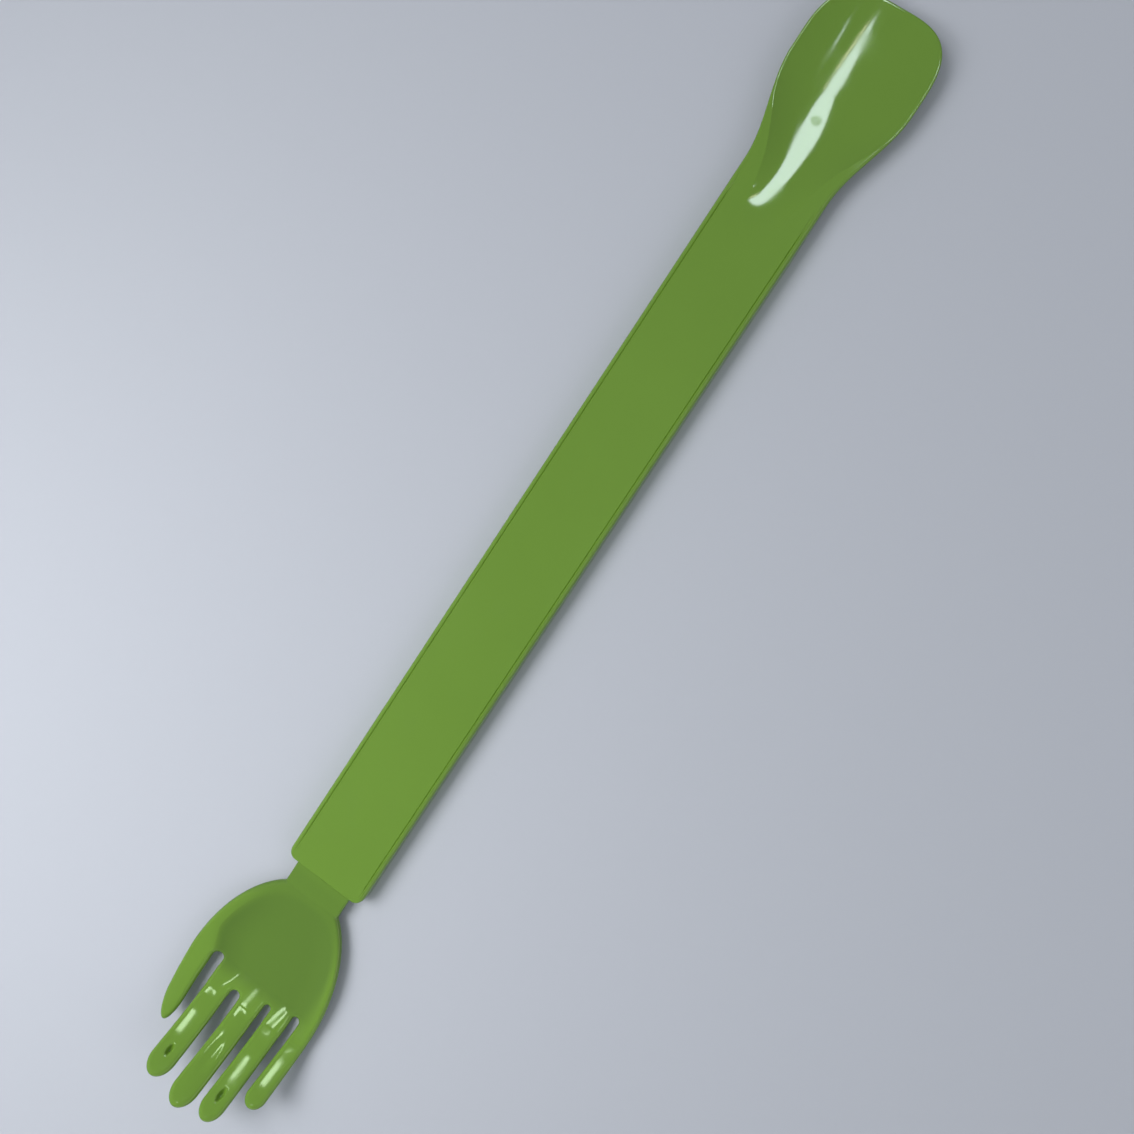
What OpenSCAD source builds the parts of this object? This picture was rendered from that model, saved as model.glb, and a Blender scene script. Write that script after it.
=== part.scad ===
// Back scratcher with a shoehorn at its other end, moulded in one colour of plastic.
// The hand sits on a flat tongue that slides out of the hollow handle.
// X runs from the fingertips (minus) to the shoehorn's tip (plus), the thumb is on +Y, the palm faces up.
// The origin is the middle of the straight handle, on its flat back.

/* [Handle] */
// Length of the straight handle, from the sleeve's mouth to the start of the blade
handle_l = 245; // [225:1:290]
// Width of the handle
handle_w = 27.2; // [26.4:0.1:34]
// Thickness of the face over the tongue
face_wall = 1.7; // [1.4:0.1:2.6]
// Rounding of the long edges of the face
face_r = 1.3; // [0.6:0.1:1.6]
// Rounding of the long edges of the back
back_r = 0.6; // [0.3:0.1:0.8]
// Rounding, seen from above, of the corners beside the mouth
corner_r = 3; // [1.5:0.1:3.4]
// Rounding of the face's edge above the mouth
lip_r = 0.6; // [0.3:0.1:1]
// Length of the narrow throat behind the mouth
throat_l = 6; // [4:0.5:12]
// Solid stretch between the hollow and the start of the blade
root_solid_l = 22.5; // [18:0.5:40]

/* [Shoehorn blade] */
// Length of the blade, from where it starts to widen to its tip
blade_l = 57; // [50:1:80]
// Width of the blade
blade_w = 39.6; // [32:0.2:50]
// Length over which the handle widens into the blade
widen_l = 32; // [24:0.5:36]
// Depth of the blade's scoop below its edges
scoop_depth = 4.5; // [3:0.1:4.6]
// How far before the blade the scoop starts in the handle's face
scoop_start_l = 18.5; // [14:0.5:24]
// Length over which the scoop grows to its full depth and width
scoop_l = 46; // [36:1:56]
// Share of the width that the scoop takes up where it starts
scoop_share = 0.4; // [0.3:0.05:0.9]
// Thickness of the blade
blade_wall = 1.8; // [1.4:0.1:2.4]
// Length over which the handle's sides run out under the blade
side_run_l = 36; // [26:1:44]
// Height by which the tip curves up
tip_rise = 1.5; // [0:0.1:3]
// Length of the rounded end of the blade
tip_l = 21; // [15:0.5:22]
// Squareness of the rounded end, where 2 is an ellipse
tip_power = 2.85; // [2:0.05:4]

/* [Rear cover] */
// Thickness of the cover
cover_t = 1.7; // [1.2:0.1:2.4]
// Width of the ledge that the cover lies on, on each side
ledge_w = 0.8; // [0.5:0.1:1.2]
// Gap round the cover
cover_gap = 0.1; // [0.05:0.05:0.2]
// Number of snap beads along each side of the cover
bead_count = 5; // [3:1:8]
// Length of one snap bead
bead_l = 16; // [8:1:20]
// Radius of a snap bead
bead_r = 0.4; // [0.3:0.05:0.5]

/* [Tongue] */
// Width of the tongue
tongue_w = 19.7; // [17:0.1:20.5]
// Thickness of the tongue
tongue_t = 2.4; // [2:0.1:3.2]
// Rounding of the tongue's edges
tongue_r = 0.5; // [0.2:0.1:0.9]
// Gap above and below the tongue
slide_gap = 0.3; // [0.2:0.05:0.5]
// Gap beside the tongue and its guide shoes
side_gap = 0.2; // [0.1:0.05:0.3]
// Gap that is left at either end of the slide
stop_gap = 0.3; // [0.2:0.1:1]
// Distance that the hand slides out
travel = 160; // [60:1:170]
// Width over the guide shoes, which stop the tongue in the throat
shoe_w = 23; // [21.5:0.1:23.4]
// Length of one guide shoe
shoe_l = 10; // [6:0.5:14]
// Width of the spring arm in the tongue
arm_w = 6; // [4:0.5:9]
// Length of the spring arm
arm_l = 20; // [12:1:24]
// Width of the slit round the spring arm
slit_w = 1; // [0.6:0.1:1.4]
// Radius of the catch bump under the arm
bump_r = 2.2; // [1.5:0.1:3]
// Height of the catch bump
bump_h = 0.2; // [0.1:0.05:0.2]

/* [Palm] */
// Length of bare neck between the mouth and the palm
neck_l = 7.7; // [6:0.1:14]
// Length from the neck to the widest part of the palm, at the knuckles
palm_l = 36.3; // [30:0.1:45]
// Width of the palm
palm_w = 47.2; // [44:0.1:54]
// Extra fullness of the palm on the thumb's side
thumb_bulge = 0.5; // [0:0.1:1.5]
// Height of the palm's rim
rim_z = 5.2; // [4.8:0.1:7]
// Width of the rim on the thumb's side
thumb_rim_w = 3.4; // [2:0.1:5]
// Width of the rim on the little finger's side
little_rim_w = 1.9; // [1.4:0.1:4]
// Width of the hollowed slope from the thumb's rim down to the middle of the dish
thumb_slope_w = 13; // [6:0.5:16]
// Width of the hollowed slope from the little finger's rim
little_slope_w = 11; // [6:0.5:14]
// Height of the dish's floor
dish_z = 2; // [1.9:0.1:3]
// Wall under the dish
dish_wall = 1.7; // [1.2:0.1:1.9]
// Length of the slope from the neck down into the dish
neck_slope_l = 9; // [5:0.5:14]

/* [Fingers] */
// Widths of the index, middle, ring and little fingers
finger_w = [7.6, 7.6, 6.9, 5.9]; // [5.5:0.1:8.5]
// Lengths past the knuckles of the index, middle, ring and little fingers, seen from above
finger_l = [31.9, 34.2, 32.6, 24.2]; // [20:0.1:38]
// Gaps between thumb and index, index and middle, middle and ring, ring and little finger
slot_w = [3.3, 3.5, 2.4, 2.6]; // [1.6:0.1:4]
// How far the end of each gap lies from the knuckles, towards the neck
slot_root = [4.7, -1.8, 0.4, 2.6]; // [-3:0.1:6]
// Thickness of the fingers
finger_t = 2.6; // [2.2:0.1:3.4]
// Height of the knuckles
knuckle_z = 4.5; // [4.2:0.1:6]
// How far the web between the fingers lies below the knuckles
web_drop = 0.2; // [0.2:0.1:1.2]
// Length of the slope from the dish up to the web
knuckle_slope_l = 8; // [6:0.5:12]
// Length of a finger's rounded root, over that slope
nose_l = 5; // [3:0.1:5.8]
// Upward slope of the fingers at the knuckles, in degrees
finger_lift = 6; // [0:0.5:12]
// Radius of the fingers' curl
curl_r = 62; // [56:1:120]
// Depth of the hollow along a finger
groove_depth = 0.9; // [0:0.1:1.2]
// Extra width of the finger pads, near the tips
pad_w = 0.7; // [0:0.1:1.2]
// Distance by which the fingertips lean towards the thumb
finger_lean = 0.4; // [0:0.1:0.8]
// Length of the thumb past the knuckles
thumb_l = 20; // [14:0.5:26]
// Distance by which the thumb's tip leans towards the fingers
thumb_lean = 2.2; // [0:0.1:3]
// Share by which the thumb narrows before its rounded tip
thumb_taper = 0.2; // [0:0.05:0.5]
// Length of the thumb's rounded tip
thumb_tip_l = 8; // [5:0.5:10]
// Height by which the thumb's tip rises
thumb_rise = 2.6; // [0:0.1:5]

/* [Hidden] */
green = "#7AA63E";
$fn = 48;

// Overlap of a cutting block past what it cuts, and spacing of the sections along the blade
over = 1;
pitch = 2.5;

// Levels, from the back of the handle up
tongue_z = cover_t + slide_gap;
neck_z = tongue_z + tongue_t;
hollow_z = neck_z + slide_gap;
handle_t = hollow_z + face_wall;

// Share of the solid stretch that the cover's end lies on
seat_share = 1 / 6;

// Stations along the handle
mouth_x = -handle_l / 2;
root_x = handle_l / 2;
tip_x = root_x + blade_l;
throat_x = mouth_x + throat_l;
hollow_x = root_x - root_solid_l;
scoop_x = root_x - scoop_start_l;
cover_x = hollow_x + seat_share * root_solid_l;

// Half widths across the handle
throat_y = tongue_w / 2 + side_gap;
hollow_y = shoe_w / 2 + side_gap;
recess_y = hollow_y + ledge_w;

// Stations along the hand at rest
palm_x = mouth_x - neck_l;
knuckle_x = palm_x - palm_l;
tongue_end_x = hollow_x - stop_gap;
shoe_x = throat_x + stop_gap + travel;
bump_x = shoe_x + shoe_l + arm_l;

// How deep, how far along and how far in from the edge the palm is buried in a finger
sink = 0.1;
bury_l = 4;
bury_t = 0.6;
bury_w = 0.8;

// How softly the narrow start of the scoop meets the flat face
scoop_soft = 0.35;

// Largest share of the thickness that one edge rounding takes up, and half width left at the tip
round_share = 0.45;
end_half = blade_wall / 4;

// Where the fullness on the thumb's side peaks: below 1 is nearer the neck
bulge_power = 0.6;

// Sine of the steepest slope in the fingers' curl, and a fingertip's rounding in finger widths
steepest = 0.98;
tip_share = 0.6;

// Shape of a finger's section: roundness across and upwards, share that is hollowed, fullness of the hollow
side_power = 0.75;
top_power = 0.7;
hollow_share = 0.9;
hollow_power = 1.2;

// Smallest share of a finger's width and thickness that is left at its ends, and of the thumb's thickness
end_w = 0.06;
end_t = 0.25;
thumb_end_t = 0.5;

// Largest share of the dish's width that the slope from either rim takes up
dish_share = 0.49;

function smooth(t) = let (c = min(1, max(0, t))) c * c * (3 - 2 * c);
function mix(a, b, t) = a + (b - a) * t;
function quarter(t) = sqrt(max(0, 1 - pow(1 - min(1, t), 2)));

// Solid through a list of rings that have equally many points each
module loft(rings) {
  n = len(rings[0]);
  last = len(rings) - 1;
  points = [for (ring = rings) each ring];
  sides = [
    for (i = [0 : last - 1], j = [0 : n - 1])
      let (a = i * n + j, b = i * n + (j + 1) % n)
        each [[a, b, b + n], [a, b + n, a + n]]
  ];
  caps = [for (j = [1 : n - 2]) each [[0, j + 1, j], [last * n, last * n + j, last * n + j + 1]]];
  polyhedron(points, concat(sides, caps), convexity = 6);
}

// Rectangle with round corners
module round_rect(w, h, r) {
  translate([r, 0]) square([w - 2 * r, h]);
  translate([0, r]) square([w, h - 2 * r]);
  for (x = [r, w - r], y = [r, h - r]) translate([x, y]) circle(r);
}

// Block between two stations, centred across the handle
module slab(x0, x1, half_w, z0, z1) {
  translate([x0, -half_w, z0]) cube([x1 - x0, 2 * half_w, z1 - z0]);
}

// Half width of the handle and blade, before the tip is rounded
function strip_half(x) = mix(handle_w, blade_w, smooth((x - root_x) / widen_l)) / 2;

// Half width with the rounded corners of the mouth and of the tip
function plan_half(x) =
  let (in_mouth = (x - mouth_x) / corner_r, in_tip = 1 - (tip_x - x) / tip_l)
    in_mouth < 1 ? handle_w / 2 - corner_r + corner_r * quarter(in_mouth)
    : in_tip > 0 ? strip_half(x) * pow(max(0, 1 - pow(in_tip, tip_power)), 1 / tip_power)
    : strip_half(x);

// Face of the handle: flat, then a round scoop that grows between level edges, with the tip curving up
function face_z(x, y) =
  let (grown = smooth((x - scoop_x) / scoop_l))
  let (inside = 1 - pow(y / strip_half(x) / mix(scoop_share, 1, grown), 2), soft = scoop_soft * (1 - grown))
  let (up = max(0, (x - root_x - widen_l) / (blade_l - widen_l)))
    handle_t - scoop_depth * grown * (inside + sqrt(inside * inside + soft * soft)) / 2 + tip_rise * up * up
    - lip_r * (1 - quarter((x - mouth_x) / lip_r));

// Back of the handle: flat, then following the scoop one wall below it
function back_z(x, y) =
  smooth((x - hollow_x) / side_run_l) * max(0, face_z(x, y) - blade_wall);

// One ring round the handle at a station, over the face and back under it
function handle_ring(x) =
  let (half = max(plan_half(x), end_half))
  let (thin = face_z(x, half) - back_z(x, half))
  let (most_r = min(thin * round_share, half), top_r = min(face_r, most_r), low_r = min(back_r, most_r))
  let (turn = [0 : 22.5 : 67.5], turn_back = [67.5 : -22.5 : 0], flat = [1 : -0.125 : -1])
  let (
    face = concat(
      [for (a = turn) [half - top_r * (1 - cos(a)), top_r * (1 - sin(a))]],
      [for (f = flat) [(half - top_r) * f, 0]],
      [for (a = turn_back) [top_r * (1 - cos(a)) - half, top_r * (1 - sin(a))]]
    ),
    back = concat(
      [for (a = turn) [low_r * (1 - cos(a)) - half, low_r * (1 - sin(a))]],
      [for (f = flat) [(low_r - half) * f, 0]],
      [for (a = turn_back) [half - low_r * (1 - cos(a)), low_r * (1 - sin(a))]]
    )
  )
  concat(
    [for (p = face) [x, p[0], face_z(x, p[0]) - p[1]]],
    [for (p = back) [x, p[0], back_z(x, p[0]) + p[1]]]
  );

module handle_body() {
  stations = concat(
    [for (a = [0 : 15 : 75]) mouth_x + corner_r * (1 - cos(a))],
    [mouth_x + corner_r, throat_x],
    [for (x = [min(scoop_x, hollow_x) : pitch : tip_x - tip_l - pitch / 5]) x],
    [for (a = [0 : 9 : 90]) tip_x - tip_l * (1 - sin(a))]
  );
  loft([for (x = stations) handle_ring(x)]);
}

// Places of the snap beads along one side of the cover
function bead_x(i) = mix(throat_x, cover_x, (i + 0.5) / bead_count);

// Snap beads on the cover, or with a gap the grooves that they click into
module beads(gap) {
  for (i = [0 : bead_count - 1], side = [-1, 1])
    translate([bead_x(i) - bead_l / 2 - gap, side * (recess_y - cover_gap), cover_t / 2])
      rotate([0, 90, 0])
        cylinder(r = bead_r + gap, h = bead_l + 2 * gap);
}

// Catch bump, a shallow dome that points down, or with a gap the dent for it
module catch_dome(x, z, gap) {
  ball_r = (bump_r * bump_r + bump_h * bump_h) / (2 * bump_h);
  translate([x, 0, z]) intersection() {
    translate([0, 0, ball_r - bump_h - gap]) sphere(ball_r, $fn = 96);
    translate([0, 0, -bump_h - gap - over]) cylinder(r = bump_r + over, h = bump_h + gap + over + sink);
  }
}

module shoehorn_handle() {
  color(green) difference() {
    handle_body();
    slab(mouth_x - over, throat_x + over, throat_y, -over, hollow_z);
    slab(throat_x, hollow_x, hollow_y, -over, hollow_z);
    slab(throat_x, cover_x, recess_y, -over, cover_t);
    beads(cover_gap);
  }
}

module rear_cover() {
  color(green) difference() {
    union() {
      slab(mouth_x, throat_x + over, throat_y - cover_gap, 0, cover_t);
      slab(throat_x + cover_gap, cover_x - cover_gap, recess_y - cover_gap, 0, cover_t);
      beads(0);
    }
    for (x = [bump_x, bump_x - travel]) catch_dome(x, tongue_z, slide_gap);
  }
}

// Half width of the palm: a half oval from the neck to the knuckles
function palm_half(x) =
  let (reach = palm_l / sqrt(1 - pow(tongue_w / palm_w, 2)))
    palm_w / 2 * sqrt(1 - pow(max(0, x - knuckle_x) / reach, 2));

// Slope in degrees and height along the fingers, which curl up past the knuckles
function spine_slope(x) = asin(min(steepest, sin(finger_lift) + (knuckle_x - x) / curl_r));
function spine_z(x) = knuckle_z + curl_r * (cos(finger_lift) - cos(spine_slope(x)));

// Height of the web, up from the dish to the knuckles
function web_z(x) =
  let (fall = knuckle_z - web_drop - dish_z)
    spine_z(min(x, knuckle_x)) - web_drop - fall * smooth((x - knuckle_x) / knuckle_slope_l);

// Extra half width on the thumb's side, fullest near the neck
function bulge(x) = thumb_bulge * sin(180 * pow(min(1, max(0, palm_x - x) / palm_l), bulge_power));

// Thickness of the palm from the dish to the web
function plate_t(x) = mix(finger_t - web_drop + sink, dish_wall, smooth((x - knuckle_x) / knuckle_slope_l));

// Width of the rim on the thumb's side, which grows to the whole thumb at its root
function thumb_rim(x) =
  mix(thumb_w, thumb_rim_w, smooth((x - knuckle_x - slot_root[0] + slot_w[0] / 2) / knuckle_slope_l));

// One ring round the palm at a station, which meets the little finger at its own height
function palm_ring(x) =
  let (from_neck = smooth((palm_x - x) / neck_slope_l))
  let (at_knuckle = smooth((knuckle_x + knuckle_slope_l - x) / knuckle_slope_l))
  let (buried = max(0, knuckle_x - x) / bury_l * bury_t)
  let (half = palm_half(min(x, palm_x)) - (x > palm_x ? sink : buried + sink * at_knuckle))
  let (thumb_half = palm_half(min(x, palm_x)) + bulge(x) - (x > palm_x ? sink : buried))
  let (top = mix(neck_z - sink, rim_z, from_neck) - buried)
  let (low_top = top - (rim_z - knuckle_z + sink) * at_knuckle)
  let (floor_z = x > knuckle_x + knuckle_slope_l ? mix(top, dish_z, from_neck) : web_z(x) - buried)
  let (floor_t = mix(tongue_t - 2 * sink, plate_t(x), from_neck) - 2 * buried)
  let (edge_t = mix(tongue_t - 2 * sink, finger_t, from_neck) - 2 * buried - 2 * sink * at_knuckle)
  let (edge_r = edge_t / 2, rim = thumb_rim(x))
  let (room = dish_share * (half + thumb_half - rim - little_rim_w))
  let (thumb_slope = min(thumb_slope_w, room), little_slope = min(little_slope_w, room))
  let (
    bowl = function (t, z) mix(floor_z, z, pow(1 - t, 2)),
    under = function (t, z) min(z - edge_t, bowl(t, z) - floor_t)
  )
  let (
    points = concat(
      [for (a = [0 : 22.5 : 90]) [thumb_half - edge_r * (1 - cos(a)), top - edge_r * (1 - sin(a))]],
      [for (t = [0 : 0.2 : 1]) [thumb_half - rim - t * thumb_slope, bowl(t, top)]],
      [for (t = [1 : -0.2 : 0]) [little_rim_w + t * little_slope - half, bowl(t, low_top)]],
      [for (a = [90 : -22.5 : -90]) [edge_r * (1 - cos(a)) - half, low_top - edge_r * (1 - sin(a))]],
      [for (t = [0.2 : 0.2 : 1]) [little_rim_w + t * little_slope - half, under(t, low_top)]],
      [for (t = [1 : -0.2 : 0.2]) [thumb_half - rim - t * thumb_slope, under(t, top)]],
      [for (a = [-90 : 22.5 : -22.5]) [thumb_half - edge_r * (1 - cos(a)), top - edge_r * (1 - sin(a))]]
    )
  )
  [for (p = points) [x, p[0], p[1]]];

module palm() {
  stations = concat(
    [palm_x + over],
    [for (i = [0.5 : 1 : 9.5]) palm_x - i / 10 * neck_slope_l],
    [for (i = [0 : 5]) mix(palm_x - neck_slope_l - 1, knuckle_x + knuckle_slope_l, i / 5)],
    [for (i = [1 : 6]) knuckle_x + knuckle_slope_l * (1 - i / 6)],
    [knuckle_x - bury_l / 2, knuckle_x - bury_l]
  );
  loft([for (x = stations) palm_ring(x)]);
}

// Widths taken up by the fingers and gaps on the little finger's side of a finger
function beyond(i) = i > 2 ? 0 : finger_w[i + 1] + slot_w[i + 1] + beyond(i + 1);
function finger_y(i) = beyond(i) + (finger_w[i] - palm_w) / 2;
thumb_in_y = finger_y(0) + finger_w[0] / 2 + slot_w[0];
thumb_w = palm_w / 2 - thumb_in_y;

// One ring round a finger: a rounded strip, hollowed along its upper side
function finger_ring(x, z, slope, y, half, thick, groove) = [
  for (a = [0 : 18 : 342])
    let (c = cos(a), s = sin(a))
    let (across = half * sign(c) * pow(abs(c), side_power))
    let (out = sign(s) * pow(abs(s), top_power) * thick / 2)
    let (hollow = s > 0 ? groove * pow(max(0, 1 - pow(c / hollow_share, 2)), hollow_power) : 0)
    let (n = out - thick / 2 - hollow)
      [x + n * sin(slope), y + across, z + n * cos(slope)]
];

// A finger, with a rounded root over the web and a rounded tip
module finger(i) {
  tip = knuckle_x - finger_l[i];
  tip_round_l = tip_share * finger_w[i];
  root = knuckle_x + nose_l;
  stations = concat(
    [for (a = [0 : 15 : 75]) root - nose_l * (1 - cos(a))],
    [for (k = [0 : 8]) mix(knuckle_x, tip + tip_round_l, k / 8)],
    [for (a = [75 : -15 : 0]) tip + tip_round_l * (1 - cos(a))]
  );
  loft([
    for (x = stations)
      let (to_tip = (x - tip) / tip_round_l, to_root = (root - x) / nose_l)
      let (along = max(0, knuckle_x - x) / finger_l[i])
      let (full = (finger_w[i] + pad_w * smooth(along)) / 2)
      let (half = full * max(end_w, min(quarter(to_tip), quarter(to_root))))
      let (sunk = finger_t * (1 - max(end_t, quarter(to_root))))
      let (thick = finger_t * max(end_t, quarter((x - tip) / finger_t * 2)) - sunk)
      let (groove = groove_depth * smooth((knuckle_x - bury_l - x) / (2 * bury_l)) * min(1, to_tip))
      let (y = finger_y(i) + finger_lean * smooth(along))
        finger_ring(x, spine_z(x) - sunk, spine_slope(x), y, half, thick, groove)
  ]);
}

// The thumb, which grows out of the palm's rim
module thumb() {
  first = knuckle_x + slot_root[0] + over;
  tip = knuckle_x - thumb_l;
  stations = concat(
    [for (k = [0 : 6]) mix(first, tip + thumb_tip_l, k / 6)],
    [for (a = [75 : -15 : 0]) tip + thumb_tip_l * (1 - cos(a))]
  );
  loft([
    for (x = stations)
      let (along = max(0, (knuckle_x - x) / thumb_l), open = max(end_w, quarter((x - tip) / thumb_tip_l)))
      let (hidden = x > knuckle_x ? sink : 0)
      let (out_y = palm_half(x) + bulge(x) - hidden)
      let (half = (out_y - thumb_in_y) / 2 * (1 - thumb_taper * along) * open)
      let (y = (out_y + thumb_in_y) / 2 - thumb_lean * along * along)
      let (z = rim_z - hidden + thumb_rise * along * along)
      let (thick = mix(thumb_end_t, 1, open) * finger_t - 2 * hidden)
        finger_ring(x, z, atan(2 * thumb_rise * along / thumb_l), y, half, thick, 0)
  ]);
}

// Round ended gap between two neighbouring fingers, cut into the palm, and half the thumb's width with it
module gap_root(i) {
  y = finger_y(i) + (finger_w[i] + slot_w[i]) / 2;
  r = slot_w[i] / 2 + bury_w;
  x = knuckle_x + slot_root[i] - r;
  start = knuckle_x - 2 * bury_l;
  wide = 2 * r + (i == 0 ? thumb_w / 2 : 0);
  translate([x, y, 0]) cylinder(r = r, h = 2 * rim_z);
  translate([start, y - r, 0]) cube([x - start, wide, 2 * rim_z]);
}

module tongue() {
  difference() {
    union() {
      translate([palm_x - sink, -tongue_w / 2, tongue_z])
        rotate([90, 0, 90])
          linear_extrude(tongue_end_x - palm_x + sink)
            round_rect(tongue_w, tongue_t, tongue_r);
      for (x = [shoe_x, tongue_end_x - shoe_l]) slab(x, x + shoe_l, shoe_w / 2, tongue_z, neck_z);
    }
    difference() {
      slab(bump_x - arm_l, bump_x + arm_w / 2 + slit_w, arm_w / 2 + slit_w, 0, handle_t);
      slab(bump_x - arm_l - over, bump_x + arm_w / 2, arm_w / 2, -over, handle_t + over);
    }
  }
  catch_dome(bump_x, tongue_z, 0);
}

module scratcher_hand() {
  color(green) {
    difference() {
      palm();
      for (i = [0 : 3]) gap_root(i);
    }
    for (i = [0 : 3]) finger(i);
    thumb();
    tongue();
  }
}

shoehorn_handle();
rear_cover();
scratcher_hand();
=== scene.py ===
# Back scratcher with a shoehorn at its other end, in glossy lime green moulded plastic.
# Lengths are in mm until a mesh is made. X runs from the fingertips to the shoehorn's tip, Z is up.
import math

import bmesh
import bpy
import numpy as np
from mathutils import Matrix, Vector


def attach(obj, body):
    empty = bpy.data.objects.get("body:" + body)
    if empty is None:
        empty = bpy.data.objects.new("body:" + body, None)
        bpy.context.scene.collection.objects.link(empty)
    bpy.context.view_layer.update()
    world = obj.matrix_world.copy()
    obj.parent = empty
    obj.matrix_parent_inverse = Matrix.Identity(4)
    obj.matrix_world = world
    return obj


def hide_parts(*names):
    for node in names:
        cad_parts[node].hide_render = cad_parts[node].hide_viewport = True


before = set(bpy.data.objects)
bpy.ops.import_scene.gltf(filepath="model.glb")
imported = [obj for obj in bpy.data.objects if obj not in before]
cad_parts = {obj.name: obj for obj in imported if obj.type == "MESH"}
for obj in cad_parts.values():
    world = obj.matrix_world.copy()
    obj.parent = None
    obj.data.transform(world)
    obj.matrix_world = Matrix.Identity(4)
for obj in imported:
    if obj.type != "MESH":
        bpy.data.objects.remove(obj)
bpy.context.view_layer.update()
print("frame: the packed model is loaded")

mm = 0.001  # metres in a millimetre


def smooth(t):
    # eases from 0 to 1: three t squared less two t cubed
    c = np.clip(t, 0.0, 1.0)
    return c * c * (3.0 - 2.0 * c)


def ease(t, start, end):
    # 0 up to the start, 1 from the end on, and smooth between them
    return smooth((t - start) / (end - start))


def mix(a, b, t):
    return a + (b - a) * t


def softMax(a, b, k):
    # larger of two fields, with a fillet about k wide where they meet
    h = np.clip(0.5 + 0.5 * (a - b) / k, 0.0, 1.0)
    return mix(b, a, h) + k * h * (1.0 - h)


def softMin(a, b, k):
    return -softMax(-a, -b, k)


def ringFaces(rings, count, closed=True):
    # quads between neighbouring rings of equally many points
    i = np.arange(rings - 1)[:, None]
    j = np.arange(count if closed else count - 1)[None, :]
    a, b = i * count + j, i * count + (j + 1) % count
    return np.stack([a, b, b + count, a + count], -1).reshape(-1, 4)


def makePiece(name, points, faces, body, node, material, sharpDegrees):
    # a mesh from points in mm, with doubled points merged, that stands for one CAD node
    mesh = bpy.data.meshes.new(name)
    mesh.from_pydata((points * mm).tolist(), [], faces)
    work = bmesh.new()
    work.from_mesh(mesh)
    bmesh.ops.remove_doubles(work, verts=work.verts, dist=0.002 * mm)
    bmesh.ops.dissolve_degenerate(work, edges=work.edges, dist=0.0001 * mm)
    bmesh.ops.recalc_face_normals(work, faces=work.faces)
    work.to_mesh(mesh)
    work.free()
    mesh.shade_smooth()
    mesh.set_sharp_from_angle(angle=math.radians(sharpDegrees))
    mesh.materials.append(material)
    piece = bpy.data.objects.new(name, mesh)
    bpy.context.scene.collection.objects.link(piece)
    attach(piece, body)
    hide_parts(node)
    return piece


def linear(hexColour):
    # sRGB hex to linear colour
    c = np.array([int(hexColour[i:i + 2], 16) for i in (1, 3, 5)]) / 255.0
    c = np.where(c <= 0.04045, c / 12.92, ((c + 0.055) / 1.055) ** 2.4)
    return (*c.tolist(), 1.0)


def addNode(tree, kind, settings=None, inputs=None):
    # one node: settings are its own properties, inputs are values or the sockets to link from
    node = tree.nodes.new(kind)
    for key, value in (settings or {}).items():
        setattr(node, key, value)
    for key, value in (inputs or {}).items():
        if isinstance(value, bpy.types.NodeSocket):
            tree.links.new(value, node.inputs[key])
        else:
            node.inputs[key].default_value = value
    return node


plastic = {
    "green": "#6A9030",  # lime green pigment
    "deepGreen": "#658A2C",  # where the melt has flowed together
    "ior": 1.5,
    "roughness": 0.07,
    "smudgeRoughness": 0.13,  # where fingers have dulled the gloss
    "smudgeLevels": (0.5, 0.75),  # heights in the clouds at which a dulled patch starts and is full
    "gateRoughness": 0.24, "gateMm": (1.02, 2.04),  # matt spot, and the radii it fades between
    "paintedShadeGreen": "#4F6E26", "paintedShadeShare": 0.62,  # painted shade: a darker green laid over the palm's hollow, and how much of it
    "paintedShadeFacing": 0.3,  # upward part of the normal from which on the painted shade is full
    "paintedShadeEndsMm": (-168.0, -162.0, -127.0, -119.0),  # where it starts, is full, thins and ends along the hand
    "paintedShadeSideMm": (-22.0, -16.5), "paintedShadeHeightMm": (3.9, 5.2),  # where it starts across, and ends in height
    "flowMm": 34.0,  # size of the cloudy flow marks
    "smudgeMm": 9.0,  # size of the dulled patches
    "sinkMm": 16.0, "sinkDepthMm": 0.02,  # shallow sinks that bend reflections
    "peelMm": 0.9, "peelDepthMm": 0.0012,  # orange peel of a polished mould, drawn coarser so that it shows
    "detail": {"flow": 2.0, "smudge": 3.0, "sink": 1.0, "peel": 1.0},  # how ragged each pattern is
}


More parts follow.
